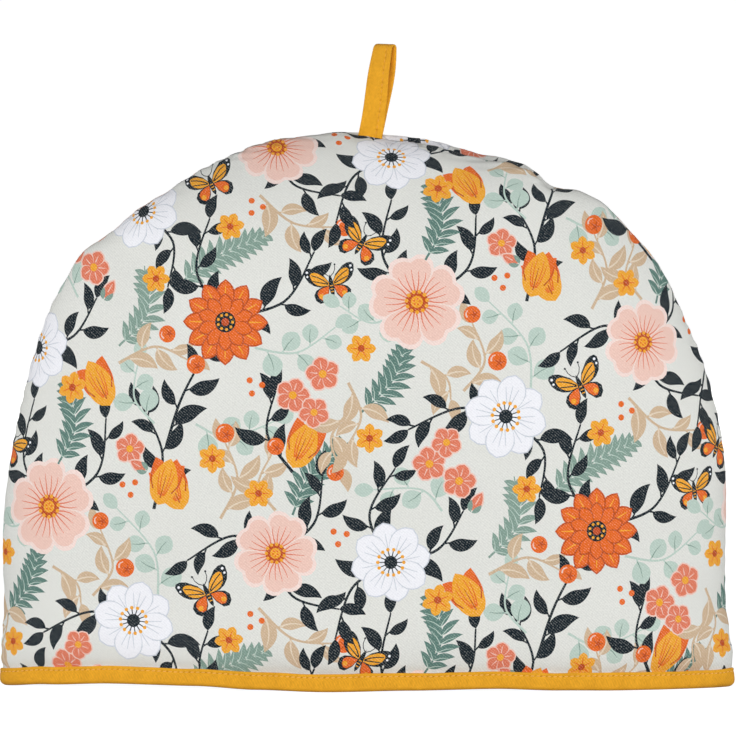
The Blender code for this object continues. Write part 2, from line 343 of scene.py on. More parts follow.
def petals(at, count, first=0.0):
    """The frames of so many petals or the like, evenly round the frame at."""
    return [turned(at, math.tau * (k + first) / count) for k in range(count)]


def on_cloth(a, b):
    return a, b


def ink(name, outline, at=on_cloth):
    patches.append((name, [at(a, b) for a, b in outline]))


def bowed(start, end, bow, share):
    """A point on the way from start to end, which bows to the left by bow of its length."""
    dx, dy = end[0] - start[0], end[1] - start[1]
    rise = 4 * bow * share * (1 - share)
    return start[0] + dx * share - dy * rise, start[1] + dy * share + dx * rise


def both_sides(line, half_width):
    """The outline round a line, with half_width(share) to each side of it."""
    left, right = [], []
    last = len(line) - 1
    for i, (x, y) in enumerate(line):
        (x0, y0), (x1, y1) = line[max(i - 1, 0)], line[min(i + 1, last)]
        run = math.hypot(x1 - x0, y1 - y0)
        w = half_width(i / last)
        left.append((x - (y1 - y0) / run * w, y + (x1 - x0) / run * w))
        right.append((x + (y1 - y0) / run * w, y - (x1 - x0) / run * w))
    if half_width(0.0) == 0.0:
        left, right = left[:-1], right[1:]
    return left + right[::-1]


def blade(name, start, end, width, at=on_cloth, bow=0.0, belly=1.0, blunt=1.0, points=10):
    """A leaf or petal from start to end, fullest past its middle where belly is over 1."""
    def half_width(t):
        return width / 2 * max(math.sin(math.pi * t**belly), 0.0) ** blunt if 0 < t < 1 else 0.0

    line = [bowed(start, end, bow, i / points) for i in range(points + 1)]
    ink(name, both_sides(line, half_width), at)


def stroke(name, start, end, width, at=on_cloth, bow=0.0, taper=0.4, points=3):
    """A drawn line, such as a vein, which thins to taper of its width."""
    line = [bowed(start, end, bow, i / points) for i in range(points + 1)]
    ink(name, both_sides(line, lambda t: width / 2 * (1 - (1 - taper) * t)), at)


def spot(name, x, y, radius, at=on_cloth, sides=12):
    angles = [math.tau * i / sides for i in range(sides)]
    ink(name, [(x + radius * math.cos(a), y + radius * math.sin(a)) for a in angles], at)


def ring_of(name, count, distance, radius, at, sides=7):
    for k in range(count):
        angle = math.tau * k / count
        spot(name, distance * math.cos(angle), distance * math.sin(angle), radius, at, sides)


def dog_rose(at):
    """Five broad notched petals with coral veins round an amber eye, 44 mm across."""
    edge = [(2.0, -1.2), (6.5, -5.6), (11.5, -9.4), (14.2, -10.4), (17.0, -10.4), (19.4, -9.2),
            (21.2, -6.8), (21.7, -3.8), (20.2, -0.4), (21.4, 3.0), (21.2, 6.2), (19.8, 8.8),
            (17.2, 10.2), (14.2, 10.2), (11.6, 9.2), (6.5, 5.4), (2.0, 1.2)]
    for petal in petals(at, 5, 0.25):
        ink("pale blush", [(r * 1.03, s * 1.03) for r, s in edge], petal)
        ink("blush", [(2.0 + (r - 2.0) * 0.93, s * 0.88) for r, s in edge], petal)
        for j in (-2, -1, 0, 1, 2):
            stroke("coral", (5.0, j * 1.1), (15.5 - abs(j) * 1.3, j * 3.3), 0.75, petal, 0.04 * j, 0.3)
    spot("rust", 0, 0, 5.4, at, 18)
    ring_of("amber", 11, 4.9, 1.0, at)
    spot("amber", 0, 0, 2.9, at)
    ring_of("orange", 5, 1.4, 0.55, at, 6)


def dahlia(at):
    """Two rings of pointed orange petals round a dark eye, 43 mm across."""
    for count, tip, wide, first in [(12, 21.5, 9.6, 0.0), (10, 14.5, 7.4, 0.5)]:
        for petal in petals(at, count, first):
            blade("rust", (1.5, 0), (tip, 0), wide, petal, belly=1.5, blunt=0.8)
            blade("orange", (1.5, 0), (tip - 0.8, 0), wide - 1.6, petal, belly=1.5, blunt=0.8)
            if first == 0.0:
                stroke("amber", (12, 0), (18.2, 0), 0.9, petal)
    spot("teal", 0, 0, 5.2, at, 16)
    ring_of("amber", 9, 3.7, 0.8, at, 6)
    spot("rust", 0, 0, 2.0, at)


def tulip(at):
    """An amber cup with orange petals behind it, 26 mm tall, its foot at the place."""
    for side in (-1, 1):
        blade("orange", (side * 1.5, 1.0), (side * 8.5, 25.0), 12.5, at, 0.10 * side, 0.95, 0.75)
    blade("amber", (0, 0), (0, 26.5), 15.5, at, 0.0, 0.80, 0.7, 12)
    for x, y in [(-4.2, 19.0), (-2.0, 21.5), (2.0, 21.5), (4.2, 19.0)]:
        stroke("orange", (x * 0.35, 5.5), (x, y), 0.8, at, -0.05 if x > 0 else 0.05)
    stroke("rust", (0, 4), (0, 17), 0.8, at)
    for side in (-1, 1):
        stroke("rust", (side * 5.4, 8.0), (side * 8.4, 20.5), 0.8, at, -0.1 * side)


def anemone(at):
    """Eight white petals with grey veins round a dark eye with amber anthers, 40 mm across."""
    ring = petals(turned(at, 0.2), 8)
    for petal in ring[::2] + ring[1::2]:
        blade("shade", (1.0, 0), (20.0, 0), 14.0, petal, belly=1.25, blunt=0.55, points=12)
        blade("white", (1.0, 0), (19.4, 0), 13.0, petal, belly=1.25, blunt=0.55, points=12)
        for j in (-1, 0, 1):
            stroke("shade", (6.0, j * 1.0), (14.5 - abs(j), j * 3.2), 0.6, petal, taper=0.5)
    for stamen in petals(at, 14):
        stroke("teal", (2.0, 0), (6.2, 0), 0.5, stamen, taper=1.0, points=1)
    ring_of("amber", 14, 6.4, 0.95, at, 6)
    spot("teal", 0, 0, 3.3, at)


def blossom(at):
    """A coral flower of a spray, with five round petals, 17 mm across."""
    for petal in petals(at, 5):
        blade("blush", (0.3, 0), (8.6, 0), 8.0, petal, belly=1.3, blunt=0.6, points=8)
        blade("coral", (0.3, 0), (7.9, 0), 6.7, petal, belly=1.3, blunt=0.6, points=8)
        stroke("blush", (2.5, 0), (6.0, 0), 0.6, petal, points=1)
    spot("amber", 0, 0, 1.9, at, 9)


def bud(at):
    """A closed coral bud in its sage cup, 10 mm tall."""
    blade("blush", (0, 0), (0, 10.5), 6.4, at, 0.0, 0.85, 0.8, 8)
    blade("coral", (0, 0.4), (0, 9.6), 4.9, at, 0.0, 0.85, 0.8, 8)
    stroke("blush", (0, 3.5), (0, 8), 0.6, at, points=1)
    for side in (-1, 1):
        blade("sage", (side * 0.2, -0.8), (side * 2.6, 4.6), 2.6, at, -0.1 * side, 0.9, 0.9, 5)


def buttercup(at):
    """A small amber flower with six petals, 14 mm across."""
    for petal in petals(at, 6):
        blade("amber", (0.5, 0), (7.0, 0), 4.6, petal, belly=1.2, blunt=0.6, points=7)
        stroke("orange", (1.8, 0), (4.8, 0), 0.6, petal, points=1)
    spot("rust", 0, 0, 1.7, at, 9)


def berry(at):
    """A round orange berry with its dried star and a pale glint, 9 mm across."""
    spot("orange", 0, 0, 4.5, at, 18)
    stroke("blush", (-2.9, 0.4), (-0.4, 3.0), 0.9, at, 0.25, 0.5)
    for ray in petals(lambda a, b: at(a + 0.9, b - 0.9), 5):
        stroke("rust", (0, 0), (2.7, 0), 1.1, ray, taper=0.2)


def butterfly(at):
    """Open amber and orange wings with dark edges, 26 mm across."""
    fore = [(0.6, 1.0), (3.0, 5.4), (7.4, 9.4), (10.0, 10.5), (12.2, 10.4), (13.2, 9.0), (12.8, 5.8),
            (11.4, 3.0), (9.0, 0.8), (6.0, -0.4), (1.0, -0.6)]
    hind = [(0.8, 0.0), (5.6, -0.6), (8.2, -1.8), (9.7, -4.0), (9.2, -7.0), (7.2, -9.0), (4.6, -8.6),
            (2.2, -5.2)]
    for wing in (lambda a, b: at(-a, b), at):
        ink("teal", hind, wing)
        ink("orange", [(0.66 + x * 0.74, y * 0.76 - 0.5) for x, y in hind], wing)
        spot("amber", 6.0, -5.2, 1.3, wing, 8)
        ink("teal", fore, wing)
        ink("amber", [(0.42 + x * 0.74, 0.28 + y * 0.72) for x, y in fore], wing)
        stroke("teal", (1.6, 1.0), (9.6, 6.6), 0.6, wing, 0.06, 0.8)
        stroke("teal", (1.6, 0.6), (9.2, 3.4), 0.6, wing, 0.0, 0.8)
        spot("white", 11.5, 8.5, 0.7, wing, 7)
        spot("white", 11.6, 6.2, 0.6, wing, 7)
        stroke("teal", (0.3, 4.6), (3.4, 10.4), 0.45, wing, -0.15, 0.8)
        spot("teal", 3.5, 10.5, 0.55, wing, 7)
    blade("teal", (0, -6.6), (0, 5.6), 2.6, at, 0.0, 0.9, 0.6, 8)
    for y in (-3.6, -2.0, -0.4):
        stroke("amber", (-0.8, y), (0.8, y), 0.5, at, taper=1.0, points=1)


def seeds(at):
    """Three orange dots thrown between the flowers."""
    ring_of("orange", 3, 3.6, 1.5, at, 10)


def smooth(points, steps=10):
    """A smooth line through the points."""
    ends = [points[0], *points, points[-1]]
    line = []
    for a, b, c, d in zip(ends, ends[1:], ends[2:], ends[3:]):
        for k in range(steps):
            t = k / steps
            line.append(tuple(
                0.5 * (2 * b[n] + (c[n] - a[n]) * t + (2 * a[n] - 5 * b[n] + 4 * c[n] - d[n]) * t * t
                       + (3 * b[n] - a[n] - 3 * c[n] + d[n]) * t**3)
                for n in (0, 1)
            ))
    return line + [points[-1]]


def leaf_places(line, first, apart):
    """(x, y, way, share) every so far along a line, for its leaves."""
    total = sum(math.dist(a, b) for a, b in zip(line, line[1:]))
    found, gone, wanted = [], 0.0, first
    for (x, y), (x1, y1) in zip(line, line[1:]):
        step = math.dist((x, y), (x1, y1))
        while wanted <= gone + step and wanted < total - 2.5:
            t = (wanted - gone) / step
            way = math.atan2(y1 - y, x1 - x)
            found.append((x + (x1 - x) * t, y + (y1 - y) * t, way, wanted / total))
            wanted += apart
        gone += step
    return found


def reached(x, y, way, far):
    return x + far * math.cos(way), y + far * math.sin(way)


def end_way(line):
    (x0, y0), (x1, y1) = line[-2:]
    return math.atan2(y1 - y0, x1 - x0)


def sprig(points, name="teal", vein=None, apart=9.0, long=15.0, wide=6.6, thick=1.6, first=9.0, stalk=2.0):
    """A stem with stalked leaves to both sides by turns and one at its tip."""
    line = smooth(points)
    ink(name, both_sides(line, lambda t: thick / 2 * (1 - 0.5 * t)))
    for k, (x, y, way, share) in enumerate(leaf_places(line, first, apart)):
        side = 1 if k % 2 else -1
        way += side * math.radians(48 - 10 * share)
        size = (1.08 - 0.30 * share) * (1 + 0.12 * math.sin(2.7 * k + points[0][0]))
        root = reached(x, y, way, stalk)
        tip = reached(*root, way, long * size)
        bow = 0.12 * side * (1 if k % 3 else -1)
        stroke(name, (x, y), reached(x, y, way, stalk + 0.8), 0.9, taper=0.8, points=1)
        blade(name, root, tip, wide * size, bow=bow, belly=0.8)
        if vein:
            stroke(vein, root, bowed(root, tip, bow, 0.84), 0.9, bow=bow * 0.84, points=4)
    tip = reached(*line[-1], end_way(line), long * 0.85)
    blade(name, line[-1], tip, wide * 0.85, bow=0.10, belly=0.8)


def tan_sprig(points):
    sprig(points, "tan", "pale tan", 7.5, 14.0, 6.8, 1.5, 5.0, 1.4)


def fern(points, name="sage"):
    """A frond: pairs of narrow leaflets, longest in its middle."""
    line = smooth(points)
    ink(name, both_sides(line, lambda t: 0.55 * (1 - 0.5 * t)))
    for x, y, way, share in leaf_places(line, 4.0, 4.2):
        long = 1.0 + 10.5 * math.sin(math.pi * (0.18 + 0.77 * share)) ** 0.7
        for side in (-1, 1):
            out = way + side * math.radians(56 - 12 * share)
            blade(name, (x, y), reached(x, y, out, long), 3.6, bow=-0.10 * side, belly=0.8, blunt=0.9,
                  points=6)
            stroke("mint", (x, y), reached(x, y, out, 0.7 * long), 0.5, bow=-0.07 * side, points=2)


def deep_fern(points):
    fern(points, "deep sage")


def gum_leaves(points):
    """A stem of round leaves on short stalks, smaller to its tip."""
    size = 5.4
    line = smooth(points)
    ink("mint", both_sides(line, lambda t: 0.6 * (1 - 0.5 * t)))
    for k, (x, y, way, share) in enumerate(leaf_places(line, 6.0, 7.0)):
        r = size * (1.05 - 0.4 * share)
        way += (1 if k % 2 else -1) * math.radians(58)
        root = reached(x, y, way, 1.6)
        stroke("mint", (x, y), root, 0.8, taper=1.0, points=1)
        blade("mint", root, reached(*root, way, 2.1 * r), 1.8 * r, belly=1.1, blunt=0.62)
        stroke("sage", root, reached(*root, way, 1.5 * r), 0.6, bow=0.05, points=2)
    tip = reached(*line[-1], end_way(line), 1.7 * size)
    blade("mint", line[-1], tip, 1.2 * size, belly=1.1, blunt=0.62)


# Where the repeat's stems run, the lowest first.
STEMS = [
    (fern, [((96, 60), (112, 72), (138, 84))]),
    (deep_fern, [((6, 98), (20, 112), (26, 128)), ((150, 148), (158, 166), (176, 182))]),
    (fern, [((66, 30), (80, 46), (78, 68))]),
    (deep_fern, [((36, -26), (44, -8), (38, 12))]),
    (gum_leaves, [
        ((86, 108), (84, 130), (66, 150)), ((132, 30), (152, 28), (170, 40)),
        ((30, 150), (12, 140), (-4, 148)), ((44, 52), (34, 62), (12, 62)),
        ((104, 190), (120, 184), (142, 192)), ((84, -6), (74, 6), (76, 24)),
    ]),
    (tan_sprig, [
        ((116, 146), (124, 164), (118, 182)), ((66, 22), (84, 30), (100, 24)),
        ((54, 108), (64, 122), (58, 140)), ((134, 104), (150, 90), (170, 88)),
        ((0, 112), (6, 96), (-2, 80)), ((142, 150), (134, 162), (140, 176)),
        ((176, 0), (168, -12), (172, -26)), ((34, 122), (46, 114), (48, 104)),
    ]),
    (sprig, [
        ((90, -16), (98, 8), (116, 40)), ((32, 150), (16, 172), (20, 200)),
        ((32, 150), (56, 166), (60, 192)), ((118, 44), (104, 66), (110, 92)),
        ((118, 44), (146, 52), (160, 76)), ((74, 96), (52, 100), (28, 90)),
        ((74, 96), (92, 80), (90, 58)), ((142, 130), (122, 138), (100, 126)),
        ((142, 130), (160, 144), (164, 166)), ((142, 130), (150, 110), (172, 104)),
        ((20, 28), (42, 34), (54, 52)), ((20, 28), (2, 16), (-6, -8)),
        ((20, 28), (10, 50), (22, 72)), ((84, 150), (88, 176), (78, 198)),
        ((150, 168), (138, 186), (142, 206)),
    ]),
]
# And its flowers, fruit and butterflies: the x, y, turn in degrees and size of each.
FLOWERS = [
    (dog_rose, [(32, 150, 10, 1.0)]),
    (dahlia, [(118, 42, 0, 0.95)]),
    (anemone, [(74, 96, 20, 1.0)]),
    (dog_rose, [(142, 130, 50, 0.88)]),
    (anemone, [(20, 28, 0, 0.95)]),
    (tulip, [(150, 170, -24, 0.9), (62, 2, 30, 0.9), (98, 150, 26, 0.9), (86, 152, -16, 0.85)]),
    (blossom, [(52, 66, 0, 1.0), (38, 74, 30, 1.0), (46, 84, 50, 0.9)]),
    (bud, [(58, 52, -30, 1.0)]),
    (blossom, [(150, 8, 0, 1.0), (164, 18, 30, 1.0), (160, 0, 50, 0.9), (72, 178, 10, 0.9)]),
    (bud, [(80, 168, 60, 0.9)]),
    (buttercup, [
        (84, 62, 0, 1.0), (6, 128, 0, 1.0), (120, 88, 10, 1.0), (42, 10, 20, 1.1), (134, 158, 0, 1.0),
        (10, 86, 30, 1.0), (112, 174, 30, 1.0),
    ]),
    (berry, [
        (118, 186, 0, 1.0), (58, 144, 40, 0.9), (70, 122, 10, 1.0), (104, 22, 0, 1.0),
        (90, 36, 60, 0.9), (142, 180, 0, 0.9), (174, 88, 0, 1.0), (170, -28, 30, 0.9),
    ]),
    (butterfly, [(110, 110, 25, 1.0), (6, 178, -30, 0.95), (168, 60, 10, 0.9)]),
    (seeds, [(132, 98, 0, 1.0), (72, 160, 40, 1.0), (172, 138, 20, 1.0), (132, 12, 10, 1.0)]),
]
for draw, runs in STEMS:
    for points in runs:
        draw(points)
for draw, places in FLOWERS:
    for place in places:
        draw(motif_place(*place))


# ---- The two panels ----------------------------------------------------------------------
# Cotton twill of about 220 g/m2, printed, over wadding and a plain cream inner cloth. The
# printed cloth is woven first and shows its diagonal ribs through the ink, most of all in
# the dark inks, where the pale yarn peeps out between the ribs.

MM = 0.001
# Real twill has a rib every 0.5 mm or so. It is drawn at twice that, or it wouldn't show.
PRINTED_RIB, PRINTED_YARN = 1.05, 1.08
PLAIN_YARN = 0.9
YARN_STRAYS, STRAY_LONG = 0.8, 1.923  # how far the yarns wander, and over what length
SLUB_LONG = 4.167
INK_WEAR, INK_CLOUD = 0.909, 16.67  # the worn specks and the patches where the ink took unevenly


def linear(colour):
    """An sRGB hex colour as linear red, green, blue and alpha."""
    parts = [int(colour[i:i + 2], 16) / 255 for i in (1, 3, 5)]
    return (*[p / 12.92 if p <= 0.04045 else ((p + 0.055) / 1.055) ** 2.4 for p in parts], 1.0)


def node(tree, kind, inputs=(), out=0, **properties):
    """Adds a shader node and gives one of its outputs. Each input is a value, or the output that
    feeds it, in order or by name."""
    made = tree.nodes.new("ShaderNode" + kind)
    for name, value in properties.items():
        setattr(made, name, value)
    for place, value in inputs.items() if isinstance(inputs, dict) else enumerate(inputs):
        if isinstance(value, bpy.types.NodeSocket):
            tree.links.new(value, made.inputs[place])
        else:
            made.inputs[place].default_value = value
    return made.outputs[out] if made.outputs else None


def new_material(name, settings):
    """A material with settings on its shader: returns it, its tree and its shader."""
    material = bpy.data.materials.new(name)
    material.use_nodes = True
    shader = material.node_tree.nodes["Principled BSDF"]
    for socket, value in settings.items():
        shader.inputs[socket].default_value = value
    return material, material.node_tree, shader


def waves(tree, place, across, up, apart):
    """Even waves over the cloth, from 0 to 1, so many mm apart along (across, up)."""
    turns = math.tau / apart / MM
    way = (across * turns, up * turns, 0.0)
    far = node(tree, "VectorMath", [place, way], "Value", operation="DOT_PRODUCT")
    swing = node(tree, "Math", [far], operation="SINE")
    return node(tree, "Math", [swing, 0.5, 0.5], operation="MULTIPLY_ADD")


def twill(tree, place, rib, yarn):
    """The height of diagonal ribs, each broken into uneven floats by the yarns that cross it."""
    stray = node(tree, "TexNoise", {"Vector": place, "Scale": 1 / STRAY_LONG / MM, "Detail": 1.0}, "Color")
    drawn = node(tree, "VectorMath", [stray, [YARN_STRAYS * MM] * 3, place], operation="MULTIPLY_ADD")
    yarns = waves(tree, drawn, 0.86, -0.51, yarn)
    floats = node(tree, "Math", [yarns, 0.52, 0.48], operation="MULTIPLY_ADD")
    return node(tree, "Math", [waves(tree, drawn, 0.64, 0.77, rib), floats], operation="MULTIPLY")


def matt_cotton(name, weave, colour, depth, slack):
    """A cotton: weave(tree, place) gives its height and colour(tree, place, height) its colour."""
    material, tree, shader = new_material(name, {
        "Roughness": 0.85, "Specular IOR Level": 0.07, "Sheen Weight": 0.05, "Sheen Roughness": 0.5,
    })
    place = node(tree, "UVMap", uv_map="cloth")
    height = weave(tree, place)
    slubs = node(tree, "TexNoise", {"Vector": place, "Scale": 1 / SLUB_LONG / MM, "Detail": 3.0})
    soft = node(tree, "Bump", {"Strength": 0.5, "Distance": slack * MM, "Height": slubs})
    fine = node(tree, "Bump", {"Strength": 0.5, "Distance": depth * MM, "Height": height, "Normal": soft})
    tree.links.new(colour(tree, place, height), shader.inputs["Base Color"])
    tree.links.new(fine, shader.inputs["Normal"])
    return material


def printed_weave(tree, place):
    return twill(tree, place, PRINTED_RIB, PRINTED_YARN)


def printed_colour(tree, place, ribs):
    """Flat ink that is a little duller between the ribs, with pale specks in the dark inks."""
    inks = node(tree, "Attribute", out="Color", attribute_name="ink")
    worn = node(tree, "TexNoise", {"Vector": place, "Scale": 1 / INK_WEAR / MM, "Detail": 1.0})
    high = node(tree, "Math", [ribs, 1.5], operation="POWER")
    thin = node(tree, "Math", [worn, 0.95, -0.33], operation="MULTIPLY_ADD")
    bare = node(tree, "Math", [high, thin], operation="MULTIPLY")
    pale = node(tree, "Mix", {0: bare, 6: inks, 7: linear(INKS["cloth"])}, 2, data_type="RGBA")
    uneven = node(tree, "TexNoise", {"Vector": place, "Scale": 1 / INK_CLOUD / MM, "Detail": 4.0})
    dull = node(tree, "Math", [uneven, 0.06, 0.94], operation="MULTIPLY_ADD")
    speck = node(tree, "Math", [worn, 0.24, 0.832], operation="MULTIPLY_ADD")
    valley = node(tree, "Math", [ribs, 0.10, speck], operation="MULTIPLY_ADD")
    shade = node(tree, "Math", [dull, valley], operation="MULTIPLY")
    return node(tree, "VectorMath", {0: pale, "Scale": shade}, operation="SCALE")


def plain_weave(tree, place):
    crossed = [waves(tree, place, *way, PLAIN_YARN) for way in ((1.0, 0.0), (0.0, 1.0))]
    return node(tree, "Math", crossed, operation="MULTIPLY")


def cream_colour(tree, place, weave):
    ramp = node(tree, "ValToRGB", [weave])
    for stop, yarn in zip(ramp.node.color_ramp.elements, ("#DAD4C6", "#ECE7DA")):
        stop.color = linear(yarn)
    return ramp


# Matt printed twill: crisp flat inks over a soft grain.
printed_twill = matt_cotton("printed cotton twill", printed_weave, printed_colour, 0.06, 0.25)
# Cream inner cloth: a fine even weave, hardly seen.
inner_cloth = matt_cotton("cream inner cotton", plain_weave, cream_colour, 0.05, 0.35)

HEM_POINTS = 120
EDGE_STEP = 2.4
SEAM_ROWS = (0.35, 0.9, 1.6, 2.4, 3.4, 4.8, 6.6)  # rows of points beside the seam, for its roll
GRID, INNER_GRID = 3.6, 9.0
NORMAL_STEP = 0.25
PRINT_AT = {"front_panel": (9.0, -31.0), "back_panel": (96.0, 22.0)}  # where each was cut from the cloth


def panel_outline():
    """The cut edge of a panel on the flat cloth, anticlockwise from the hem's left end."""
    hem = [(u, 0.0) for u in np.linspace(-row_half[0], row_half[0], HEM_POINTS)[:-1]]
    steps = np.linspace(0, edge_walk[-1], int(edge_walk[-1] / EDGE_STEP) + 1)
    v = np.interp(steps, edge_walk, row_v)[:-1]
    right = list(zip(np.interp(v, row_v, row_half), v))
    left = [(-u, v) for u, v in right[:0:-1]]
    return hem + right + [(0.0, CLOTH_HEIGHT)] + left


def even_points(step):
    """Points in even rows over the panel, clear of its seam."""
    rows = np.arange(1.2, CLOTH_HEIGHT - step, step * 0.866)
    u = np.arange(-int(row_half[0] / step) - 1, int(row_half[0] / step) + 2) * step
    grid_u = np.stack([u + 0.5 * step * (j % 2) for j in range(len(rows))])
    grid_v = np.repeat(rows[:, None], len(u), axis=1)
    clear = from_the_seam(grid_u, grid_v) > step
    return list(zip(grid_u[clear], grid_v[clear]))


def seam_points(outline):
    """Rows of points along the seam, for the cloth that rolls over into it."""
    edge = np.array([p for p in outline if p[1] > 0.5])
    ways = np.gradient(edge, axis=0)
    inwards = unit(np.stack([-ways[:, 1], ways[:, 0]], axis=1))
    found = []
    for far in SEAM_ROWS:
        row = edge + inwards * far
        row = row[(row[:, 1] > 0.6) & (from_the_seam(row[:, 0], row[:, 1]) > 0.7 * far)]
        found += [tuple(p) for p in row]
    return found


def printed_shapes(name, side):
    """The ink patches that fall on a panel, each as (ink, outline), anticlockwise or not."""
    du, dv = PRINT_AT[name]
    found = []
    for column in range(-2, 3):
        for row in range(-2, 3):
            start = column * REPEAT_WIDTH - du, (row + 0.5 * (column % 2)) * REPEAT_HEIGHT - dv
            for ink_name, outline in patches:
                # Seen from behind, the back panel's print runs the same way as the front's.
                spots = (np.array(outline) + start) * (-side, 1)
                u, v = spots.T
                if np.any((from_the_seam(u, np.maximum(v, 0)) > 0) & (v > 0) & (v < CLOTH_HEIGHT)):
                    found.append((ink_name, spots))
    return found


def inside(spots, outline):
    """Which of the spots an outline winds round."""
    x, y = spots[:, 0, None], spots[:, 1, None]
    (x0, y0), (x1, y1) = np.array(outline).T, np.roll(outline, -1, axis=0).T
    left = (x1 - x0) * (y - y0) - (x - x0) * (y1 - y0)
    rising = np.sum((y0 <= y) & (y1 > y) & (left > 0), axis=1)
    return rising != np.sum((y0 > y) & (y1 <= y) & (left < 0), axis=1)


def cut_cloth(outline, shapes, loose):
    """Triangles over the outline, none across a shape's edge: points, triangles and top shapes."""
    points, edges = [], []
    for shape in [outline, *shapes]:
        edges += [(len(points) + i, len(points) + (i + 1) % len(shape)) for i in range(len(shape))]
        points += [Vector(p) for p in shape]
    points += [Vector(p) for p in loose]
    found, _, triangles, *_ = delaunay_2d_cdt(points, edges, [], 0, 1e-5, False)
    found, triangles = np.array(found), np.array(triangles)
    triangles = triangles[inside(found[triangles].mean(axis=1), outline)]
    middles = found[triangles].mean(axis=1)
    order = np.argsort(middles[:, 1])
    top_shape = np.full(len(triangles), -1)
    for k, shape in enumerate(shapes):
        low, high = np.min(shape, axis=0), np.max(shape, axis=0)
        first, last = np.searchsorted(middles[order, 1], (low[1], high[1]))
        near = order[first:last]
        near = near[(middles[near, 0] > low[0]) & (middles[near, 0] < high[0])]
        top_shape[near[inside(middles[near], shape)]] = k
    used, renamed = np.unique(triangles, return_inverse=True)
    return found[used], renamed.reshape(triangles.shape), top_shape


def rim_of(triangles):
    """The outer edge of the triangles, in order, as point numbers."""
    edges = {(a, b) for t in triangles.tolist() for a, b in zip(t, t[1:] + t[:1])}
    follow = {a: b for a, b in edges if (b, a) not in edges}
    rim = [min(follow)]
    while follow[rim[-1]] != rim[0]:
        rim.append(follow[rim[-1]])
    return rim


def smooth_normals(flat, side, skin):
    """The cloth's own normals, from how it runs a little further along u and v."""
    u, v = flat.T
    above, below = np.minimum(v + NORMAL_STEP, CLOTH_HEIGHT), np.maximum(v - NORMAL_STEP, 0)
    right = lie(u + NORMAL_STEP, v, side, skin) - lie(u - NORMAL_STEP, v, side, skin)
    up = lie(u, above, side, skin) - lie(u, below, side, skin)
    return unit(np.cross(right, up) * (-side if skin == "outer" else side))


def piece_of(name, points, faces, materials, places=None):
    """A new piece from points in mm; places are where its faces' corners lie on the flat cloth."""
    mesh = bpy.data.meshes.new(name)
    mesh.from_pydata((points * MM).tolist(), [], faces)
    for material in materials:
        mesh.materials.append(material)
    mesh.polygons.foreach_set("use_smooth", np.ones(len(faces), bool))
    if places is not None:
        mesh.uv_layers.new(name="cloth").data.foreach_set("uv", (places * MM).ravel())
    made = bpy.data.objects.new(name, mesh)
    bpy.context.scene.collection.objects.link(made)
    return made


def panel(name, side):
    """One padded panel: printed face, inner cloth and the turned edge between them."""
    outline = panel_outline()
    prints = printed_shapes(name, side)
    loose = even_points(GRID) + seam_points(outline)
    flat, face, ink_of = cut_cloth(outline, [spots for _, spots in prints], loose)
    rim = rim_of(face)
    inner_flat, inner_face, _ = cut_cloth([tuple(flat[i]) for i in rim], [], even_points(INNER_GRID))
    inner_rim = rim_of(inner_face)
    if len(inner_rim) != len(rim):
        raise RuntimeError(f"{name}: the inner cloth's edge doesn't match the printed one's")
    # Both edges run the same way round, and the inner one only starts somewhere else.
    first = np.argmin(np.linalg.norm(inner_flat[inner_rim] - flat[rim[0]], axis=1))
    partner = (np.roll(inner_rim, -first) + len(flat)).tolist()
    turned_in = [[rim[i - 1], partner[i - 1], partner[i], rim[i]] for i in range(len(rim))]

    faces = face.tolist() + (inner_face + len(flat))[:, ::-1].tolist() + turned_in
    if side > 0:
        faces = [f[::-1] for f in faces]
    points = np.concatenate([lie(*flat.T, side, "outer"), lie(*inner_flat.T, side, "inner")])
    corners = np.array([i for f in faces for i in f])
    places = np.concatenate([flat, inner_flat])[corners]
    made = piece_of(name + "_cloth", points, faces, [printed_twill, inner_cloth], places)
    mesh = made.data
    unprinted = len(faces) - len(face)
    mesh.polygons.foreach_set("material_index", np.repeat([0, 1], [len(face), unprinted]))
    colours = np.array([linear(INKS["cloth"])] + [linear(INKS[ink_name]) for ink_name, _ in prints])
    of_face = colours[np.concatenate([ink_of + 1, np.zeros(unprinted, int)])]
    of_corner = np.repeat(of_face, [len(f) for f in faces], axis=0)
    mesh.color_attributes.new("ink", "FLOAT_COLOR", "CORNER").data.foreach_set("color", of_corner.ravel())
    normals = np.concatenate([smooth_normals(flat, side, "outer"), smooth_normals(inner_flat, side, "inner")])
    mesh.attributes.new("custom_normal", "FLOAT_VECTOR", "POINT").data.foreach_set("vector", normals.ravel())
    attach(made, "root")
    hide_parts(name)


panel("front_panel", -1)
panel("back_panel", 1)


# ---- The hem binding ---------------------------------------------------------------------
# A strip of amber cotton twill, pressed in half along its length with its raw edges turned
# in, folded round the hem of both panels and machine-stitched through near its upper edge.
# The stitching pulls a shallow groove along the tape, and the lip above it stands up a little. Its needle
# holes get painted shade.

OUTSIDE, INSIDE = -0.2, -7.3  # its two faces, out from the dome of the padding
BINDING_TOP = 8.35
DOUBLED = 1.08  # the folded cloth's thickness
FOLD_ROUND, END_ROUND = 2.0, 3.4  # how round its lower corners are, and round the two ends
STITCH_PITCH = 2.7
STITCH_BELOW = 1.6  # the edge
INNER_LOWER = 0.4  # how much lower the edge and the stitches are inside
GROOVE_DEEP, HOLE_DEEP = 0.20, 0.22
STATIONS_PER_STITCH = 3
AMBER_RIB = 0.9  # drawn coarser than real, as the panels' ribs are
DYE_FLECK, DYE_CLOUD = 1.111, 6.667
# The lips above the two grooves: how far down from the edge, and how far out from the face.
OUTER_LIP = [(1.2, -0.05), (0.8, 0.07), (0.4, 0.0), (0.12, -0.2), (0.0, -0.5), (0.12, -0.8),
             (0.45, -1.0), (2.0, -DOUBLED)]
INNER_LIP = [(2.4, DOUBLED), (0.85, 1.0), (0.52, 0.8), (0.4, 0.5), (0.52, 0.2), (0.8, 0.0),
             (1.2, -0.07), (1.6, 0.05)]


